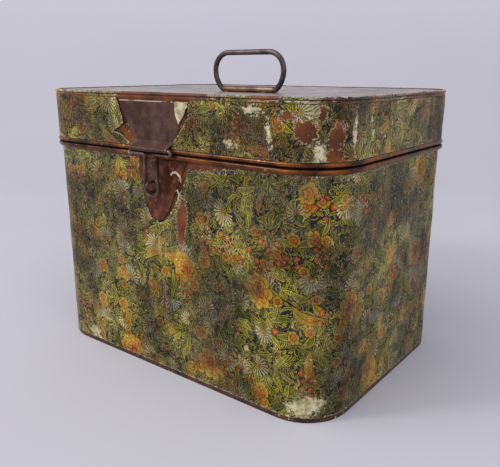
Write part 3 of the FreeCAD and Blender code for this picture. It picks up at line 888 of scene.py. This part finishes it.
# name, dark, light, rust, height from which a painted highlight is laid on
plate_metal = browned("plate_metal", hue(70, 46, 38), hue(104, 80, 68), 0.35)
hasp_plate_metal = browned("hasp_plate_metal", hue(70, 46, 38), hue(104, 80, 68), 0.35, 0.2818)
case_plate_metal = browned("case_plate_metal", hue(74, 36, 22), hue(102, 56, 36), 0.6)
wire_iron = browned("wire_iron", hue(58, 50, 49), hue(104, 93, 88), 0.25)
hasp_iron = browned("hasp_iron", hue(72, 56, 48), hue(118, 98, 84), 0.45)
ferrule_metal = browned("ferrule_metal", hue(58, 42, 34), hue(92, 72, 58), 0.5)
strap_metal = browned("strap_metal", hue(88, 68, 56), hue(132, 108, 88), 0.3)
top_finish = lid_top_finish("lid_top_paper")
torn_paper = paper_core("torn_paper")


# Worn patches: run, height, half run, half height, lean in degrees, strength

CASE_BARE = [
    (0.6345, 0.1685, 0.0052, 0.0215, -8, 1.25),
    (0.6500, 0.2255, 0.040, 0.0045, 0, 1.0),
    (0.6065, 0.078, 0.0022, 0.026, 0, 0.9),
]
CASE_TORN = [
    (0.4870, 0.013, 0.010, 0.006, -15, 1.0),
    (0.7780, 0.017, 0.018, 0.009, 10, 1.0),
    (0.7150, 0.060, 0.003, 0.003, 0, 1.0),
]
LID_BARE = [
    (0.7960, 0.2445, 0.0065, 0.0048, 0, 1.3),
    (0.7720, 0.2640, 0.008, 0.0085, 35, 1.1),
    (0.7570, 0.2760, 0.010, 0.005, 0, 0.8),
    (0.7970, 0.2590, 0.007, 0.011, -20, 1.0),
    (0.7850, 0.2780, 0.004, 0.007, 0, 0.9),
]
LID_TORN = [
    (0.7830, 0.2460, 0.006, 0.012, 0, 0.8),
    (0.7220, 0.2790, 0.016, 0.006, 0, 0.68),
    (0.7400, 0.2600, 0.004, 0.018, 10, 0.7),
    (0.8150, 0.2620, 0.0030, 0.024, 0, 0.78),
    (0.8420, 0.2640, 0.0022, 0.022, 5, 0.75),
    (0.8790, 0.2600, 0.0016, 0.020, -4, 0.75),
    (0.6980, 0.2490, 0.014, 0.005, 0, 0.66),
]
BAND_BARE = [
    (0.6150, 0.2880, 0.050, 0.006, 0, 1.4),
    (0.4700, 0.2862, 0.050, 0.0016, 0, 0.75),
    (0.7350, 0.2900, 0.020, 0.003, 0, 0.9),
    (0.9500, 0.2880, 0.060, 0.003, 0, 0.9),
    (0.1800, 0.2880, 0.090, 0.004, 0, 1.1),
]
# Pale torn paper on the band, partly painted glints on its varnish
BAND_TORN_AND_GLINTS = [
    (0.4850, 0.2892, 0.060, 0.0018, 0, 0.68),
    (0.7600, 0.2880, 0.050, 0.0022, 0, 0.62),
    (0.6800, 0.2890, 0.040, 0.0020, 0, 0.62),
]

# Outlines in x and z of the places where the paper is gone round the two front plates
PLATE_TEAR = [
    (-0.0305, 0.2345), (0.0380, 0.2345), (0.0340, 0.2110), (0.0245, 0.1955), (0.0150, 0.1805),
    (0.0070, 0.1690), (-0.0045, 0.1640), (-0.0150, 0.1670), (-0.0220, 0.1780),
    (-0.0270, 0.1920), (-0.0300, 0.2050)]
HASP_TEAR = [
    (-0.0575, 0.2900), (0.0500, 0.2900), (0.0425, 0.2815), (0.0408, 0.2690), (0.0320, 0.2580),
    (0.0190, 0.2415), (0.0185, 0.2350), (-0.0310, 0.2350), (-0.0305, 0.2420),
    (-0.0430, 0.2432), (-0.0520, 0.2498), (-0.0640, 0.2518), (-0.0470, 0.2600),
    (-0.0540, 0.2790)]


# Papers of the case and of the lid's wall

def skin(name, out, low, high, rows, spacing, wave, wave_size):
    """A thin, wavy sheet round the trunk, at an offset from the lid wall's plan."""
    profile = [(out, low + (high - low) * i / rows) for i in range(rows + 1)]
    obj = swept_round(name, profile, spacing)
    ripple(obj, name + "_wave", wave_size, wave, 0.0)
    apply_modifier(obj, "SOLIDIFY", thickness=PAPER, offset=1.0)
    return obj


def cut_at_straps(obj, name, half, low, high, seed):
    """Holes for the two hinge straps."""
    for side in (-1, 1):
        x = side * STRAP_X
        hole = [(x - half, low), (x + half, low), (x + half, high), (x - half, high)]
        cut_out(obj, prism(name, torn_outline(hole, seed + side, 0.0003), *BACK_CUT))


def dress(obj, node, body, finish):
    """Materials, with the paper's core on its cut edges, and its place in the assembly."""
    obj.data.materials.append(finish)
    obj.data.materials.append(torn_paper)
    for face in obj.data.polygons:
        x, y, z = face.center
        away = Vector((x - max(-HALF_WIDTH + CORNER, min(HALF_WIDTH - CORNER, x)),
                       y - max(-HALF_DEPTH + CORNER, min(HALF_DEPTH - CORNER, y)), 0))
        if away.length > 0.001 and abs(face.normal.dot(away.normalized())) < 0.6:
            face.material_index = 1
    smooth(obj)
    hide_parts(node)
    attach(obj, body)


case_paper = skin("case_paper", CASE_OUT + 0.00005, CASE_PAPER_LOW, CASE_PAPER_HIGH, 75,
                  0.003, 0.0013, 0.03)
cut_out(case_paper, prism("plate_tear", torn_outline(PLATE_TEAR, 11, 0.0011), *FRONT_CUT))
cut_at_straps(case_paper, "strap_cut", 0.0155, 0.1830, 0.2345, 20)
lay_print(case_paper)
wear_map(case_paper, "bare", CASE_BARE,
         ((CASE_PAPER_HIGH, 0.005, 0.62), (CASE_PAPER_LOW, 0.004, 0.5)))
wear_map(case_paper, "torn", CASE_TORN, ((CASE_PAPER_LOW, 0.006, 0.5),),
         ((PLATE_TEAR, 0.006, 0.5),))
dress(case_paper, "body_paper", "case", case_print)

lid_side_paper = skin("lid_side_paper", 0.00005, LID_PAPER_LOW, LID_PAPER_HIGH, 18, 0.0028,
                      0.0016, 0.020)
cut_out(lid_side_paper, prism("hasp_tear", torn_outline(HASP_TEAR, 5, 0.0008), *FRONT_CUT))
cut_at_straps(lid_side_paper, "notch_cut", 0.0162, 0.2300, 0.2430, 30)
lay_print(lid_side_paper)
wear_map(lid_side_paper, "bare", LID_BARE, ((LID_PAPER_LOW, 0.0025, 0.45),),
         ((HASP_TEAR, 0.004, 0.5),))
wear_map(lid_side_paper, "torn", LID_TORN, ((LID_PAPER_LOW, 0.004, 0.4),),
         ((HASP_TEAR, 0.004, 0.5),))
dress(lid_side_paper, "lid_paper", "lid", lid_print)


# Lid cover: folded rim band and dished panel in one sheet

def dish_height(x, y):
    """Height of the panel's upper face."""
    inside = -plan_offset(x, y) + PANEL_EDGE
    share = min(1.0, max(0.0, inside / DISH_RUN))
    return PANEL_TOP - DISH_DEPTH * share * share * (3 - 2 * share)


def dished_panel(name, edge, lift, spacing=0.004):
    """A panel over the lid, out to an offset from the lid wall, that follows the dish."""
    clear_selection()
    cuts_x, cuts_y = round(2 * HALF_WIDTH / spacing), round(2 * HALF_DEPTH / spacing)
    bpy.ops.mesh.primitive_grid_add(x_subdivisions=cuts_x, y_subdivisions=cuts_y, size=1)
    obj = bpy.context.object
    obj.name = name
    obj.data.name = name
    bpy.ops.object.mode_set(mode="EDIT")
    bpy.ops.transform.resize(value=(2 * HALF_WIDTH + 0.02, 2 * HALF_DEPTH + 0.02, 1))
    done()
    clear_selection()
    bpy.ops.mesh.primitive_plane_add(size=1)
    cutter = bpy.context.object
    bpy.ops.object.mode_set(mode="EDIT")
    bpy.ops.transform.resize(value=(2 * (HALF_WIDTH + edge), 2 * (HALF_DEPTH + edge), 1))
    bpy.ops.mesh.bevel(offset=CORNER + edge, segments=24, profile=0.5, affect="VERTICES",
                       clamp_overlap=False)
    bpy.ops.transform.translate(value=(0, 0, -0.01))
    bpy.ops.mesh.extrude_region_move(TRANSFORM_OT_translate={"value": (0, 0, 0.02)})
    bpy.ops.mesh.select_all(action="SELECT")
    bpy.ops.mesh.normals_make_consistent(inside=False)
    done()
    cut_out(obj, cutter, "INTERSECT")
    for vertex in obj.data.vertices:
        vertex.co.z = dish_height(vertex.co.x, vertex.co.y) + lift
    return obj


# The band's section: up its outer face, over the lip and down inside to the panel's edge
BAND_PROFILE = [
    (0.0, BAND_LOW), (BAND_OUT * 0.8, BAND_LOW), (BAND_OUT, BAND_LOW + 0.0002),
    (BAND_OUT, 0.2866), (BAND_OUT, 0.2874), (BAND_OUT * 0.45, 0.2878), (BAND_OUT * 0.9, 0.2882),
    (BAND_OUT + 0.0005, 0.2887), (BAND_OUT + 0.0008, 0.2893), (BAND_OUT + 0.0006, 0.2900),
    (BAND_OUT * 0.9, 0.2905), (BAND_OUT * 0.3, 0.2908), (-0.0002, TOP), (-0.0008, TOP),
    (-0.0011, 0.2906), (PANEL_EDGE, 0.2902), (PANEL_EDGE, 0.2895), (PANEL_EDGE, 0.2888),
    (-TIN, 0.2888), (-TIN, 0.2902), (0.0, 0.2902), (0.0, 0.2880), (0.0, BAND_LOW)]
lid_band = swept_round("lid_cover", BAND_PROFILE, 0.003)
ripple(lid_band, "band_wave", 0.04, 0.0007, 0.5)
lid_panel = dished_panel("lid_panel", PANEL_EDGE + 0.0001, 0.0)
apply_modifier(lid_panel, "SOLIDIFY", thickness=TIN, offset=-1.0)
pick(lid_band)
lid_panel.select_set(True)
bpy.ops.object.join()
lid_cover = bpy.context.object
lay_print(lid_cover)
wear_map(lid_cover, "bare", BAND_BARE, ((BAND_LOW, 0.0016, 0.72), (TOP, 0.0008, 0.5)))
# Pale torn paper along the band's top edge, partly a painted glint on its crest
wear_map(lid_cover, "torn", BAND_TORN_AND_GLINTS, ((TOP, 0.0024, 0.58), (0.2882, 0.0016, 0.42)))
lid_cover.data.materials.append(band_print)
lid_cover.data.materials.append(inside_lacquer)
for face in lid_cover.data.polygons:
    if plan_offset(face.center.x, face.center.y) < -0.001 or face.normal.z < -0.5:
        face.material_index = 1
smooth(lid_cover)
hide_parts("lid_top")
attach(lid_cover, "lid")

# Its paper, with a gap for the flanges of the handle's strap
FLANGE_GAP = (0.0696, 0.0226, 0.02)
panel_paper = dished_panel("lid_panel_paper", PANEL_EDGE - 0.0003, 0.00003)
apply_modifier(panel_paper, "SOLIDIFY", thickness=PAPER, offset=1.0)
clear_selection()
bpy.ops.mesh.primitive_cube_add(size=1, location=(0, 0, 0))
flange_gap = bpy.context.object
bpy.ops.object.mode_set(mode="EDIT")
bpy.ops.transform.resize(value=FLANGE_GAP)
bpy.ops.transform.translate(value=(HANDLE_X, 0, PANEL_TOP))
done()
cut_out(panel_paper, flange_gap)
panel_paper.data.materials.append(top_finish)
smooth(panel_paper)
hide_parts("lid_top_paper")
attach(panel_paper, "lid")


# Scraps of paper still stuck to the bare plates

HASP_FACE, STAPLE_FACE = -0.13615, -0.13365
SCRAP_THICK = 0.0003


def scrap(name, outline, seed, rough, face_y, body, finish):
    """A torn, slightly lifted bit of paper on a plate's face."""
    obj = prism(name, torn_outline(outline, seed, rough, 0.0015), face_y, face_y - SCRAP_THICK)
    apply_modifier(obj, "DISPLACE", texture=cloud(name + "_curl", 0.009), strength=0.0004,
                   mid_level=0.0, direction="Y", texture_coords="LOCAL")
    lay_print(obj)
    obj.data.materials.append(finish)
    smooth(obj, 50)
    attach(obj, body)


scrap("hasp_scrap", [
    (0.0235, 0.2818), (0.0400, 0.2826), (0.0405, 0.2790), (0.0345, 0.2698), (0.0285, 0.2625),
    (0.0248, 0.2710)], 3, 0.0006, HASP_FACE, "lid", torn_paper)
scrap("staple_scrap", [
    (-0.0460, 0.2285), (-0.0305, 0.2285), (-0.0312, 0.2160), (-0.0275, 0.2030),
    (-0.0252, 0.1900), (-0.0225, 0.1800), (-0.0190, 0.1740), (-0.0230, 0.1830),
    (-0.0345, 0.2060)], 8, 0.0006, STAPLE_FACE, "case", case_print)
scrap("torn_curl_upper", [
    (0.0130, 0.2140), (0.0160, 0.2174), (0.0215, 0.2182), (0.0268, 0.2144), (0.0280, 0.2085),
    (0.0262, 0.2080), (0.0250, 0.2126), (0.0208, 0.2160), (0.0172, 0.2158),
    (0.0146, 0.2132)], 4, 0.0003, STAPLE_FACE, "case", torn_paper)
scrap("torn_curl_lower", [
    (0.0185, 0.1985), (0.0225, 0.2010), (0.0252, 0.1965), (0.0235, 0.1900), (0.0205, 0.1850),
    (0.0196, 0.1856), (0.0222, 0.1912), (0.0232, 0.1958),
    (0.0218, 0.1990)], 6, 0.0003, STAPLE_FACE, "case", torn_paper)


# Finishes of the solids that are shown as they are; the sheet's inner face is duller

INNER = {"body_wall": CASE_OUT - TIN * 0.7, "lid_skirt": -TIN * 0.7}
for node, finish in (
        ("body_wall", rim_lacquer), ("body_rim_wire", wire_iron), ("neck_collar", inside_lacquer),
        ("bottom_panel", seam_lacquer), ("staple_plate", case_plate_metal), ("staple", hasp_iron),
        ("hinge_strap_left", plate_metal), ("hinge_strap_right", plate_metal),
        ("hinge_rivets", plate_metal), ("lid_skirt", rim_lacquer), ("lid_rim_wire", wire_iron),
        ("handle_strap", strap_metal), ("handle_rivets", strap_metal), ("handle_loop", wire_iron),
        ("hasp_plate", hasp_plate_metal), ("hasp_wire", hasp_iron),
        ("hasp_ferrule", ferrule_metal)):
    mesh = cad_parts[node].data
    mesh.materials.clear()
    mesh.materials.append(finish)
    if node in INNER:
        mesh.materials.append(inside_lacquer)
        for face in mesh.polygons:
            if plan_offset(face.center.x, face.center.y) < INNER[node]:
                face.material_index = 1


# Floor, backdrop, light and camera

def backdrop():
    """Pale floor that curves up into a wall beyond the trunk, and fades out at the sides."""
    ahead = Vector((-math.sin(YAW), math.cos(YAW), 0))
    aside = Vector((math.cos(YAW), math.sin(YAW), 0))
    reach, start, bend, wall_top, turns = 12, 0.9, 1.8, 4.0, 16
    line = [(-reach, 0.0), (start, 0.0)]
    for i in range(1, turns + 1):
        angle = math.pi / 2 * i / turns
        line.append((start + bend * math.sin(angle), bend * (1 - math.cos(angle))))
    line.append((start + bend, wall_top))
    floor = drawn_line("floor", [ahead * t - aside * reach + Vector((0, 0, z)) for t, z in line])
    bpy.ops.mesh.select_all(action="SELECT")
    bpy.ops.mesh.extrude_region_move(TRANSFORM_OT_translate={"value": aside * 2 * reach})
    done()
    edit(floor)
    bpy.ops.mesh.normals_make_consistent(inside=True)
    done()
    if floor.data.polygons[0].normal.z < 0:
        edit(floor)
        bpy.ops.mesh.flip_normals()
        done()
    smooth(floor, 60)
    made, shader = new_material("pale_floor")
    place = object_place()
    height = height_at(place)
    cloudy = noise(place, 2.0, 2.0)
    colour = blend(cloudy, hue(197, 196, 204), hue(206, 205, 212))
    colour = blend(step(height, 0.1, 1.2), colour, hue(232, 231, 239))
    nearer, aslant = [
        add("VectorMath", {0: place, 1: tuple(way)}, operation="DOT_PRODUCT").outputs["Value"]
        for way in (-ahead, aside)]
    aslant = unsigned(aslant)
    kept = times(step(nearer, 2.2, 0.8), step(aslant, 3.6, 1.9))
    feed_all(shader, {"Base Color": colour, "Alpha": kept, "Roughness": 0.9,
                      "Specular IOR Level": 0.1})
    floor.data.materials.append(made)


LIGHT_AIM = Vector((0, 0, 0.14))


def lamp(name, place, size, power, tint):
    """Square lamp that shines on the trunk's middle."""
    clear_selection()
    bpy.ops.object.light_add(type="AREA", location=place)
    made = bpy.context.object
    made.name = name
    made.data.size = size
    made.data.energy = power
    made.data.color = tint
    made.rotation_euler = (LIGHT_AIM - Vector(place)).to_track_quat("-Z", "Y").to_euler()


backdrop()
clear_selection()
bpy.ops.object.light_add(type="SUN", location=(-1.2, -1.5, 1.6))
sun = bpy.context.object
sun.name = "key_light"
sun.data.energy = 0.8
sun.data.angle = math.radians(60)
sun.data.color = (1.0, 0.98, 0.95)
sun.rotation_euler = (-Vector((-0.55, -0.75, 0.95))).to_track_quat("-Z", "Y").to_euler()
lamp("side_light", (1.8, -0.8, 1.0), 1.2, 9.0, (0.95, 0.97, 1.0))
lamp("front_light", (-1.1, -1.5, 1.4), 0.4, 13.0, (1.0, 0.99, 0.97))

world = bpy.data.worlds.new("studio")
bpy.context.scene.world = world
world.use_nodes = True
sky = world.node_tree.nodes["Background"]
sky.inputs["Color"].default_value = hue(206, 205, 214)
sky.inputs["Strength"].default_value = 1.0

look = Vector((-math.sin(YAW) * math.cos(PITCH), math.cos(YAW) * math.cos(PITCH),
               -math.sin(PITCH)))
clear_selection()
bpy.ops.object.camera_add(location=CAMERA_PLACE)
camera = bpy.context.object
camera.rotation_mode = "QUATERNION"
camera.rotation_quaternion = look.to_track_quat("-Z", "Y")
camera.data.sensor_width = 36
camera.data.lens = LENS_MM
camera.data.clip_end = 50
bpy.context.scene.camera = camera
bpy.context.scene.view_settings.view_transform = "Standard"
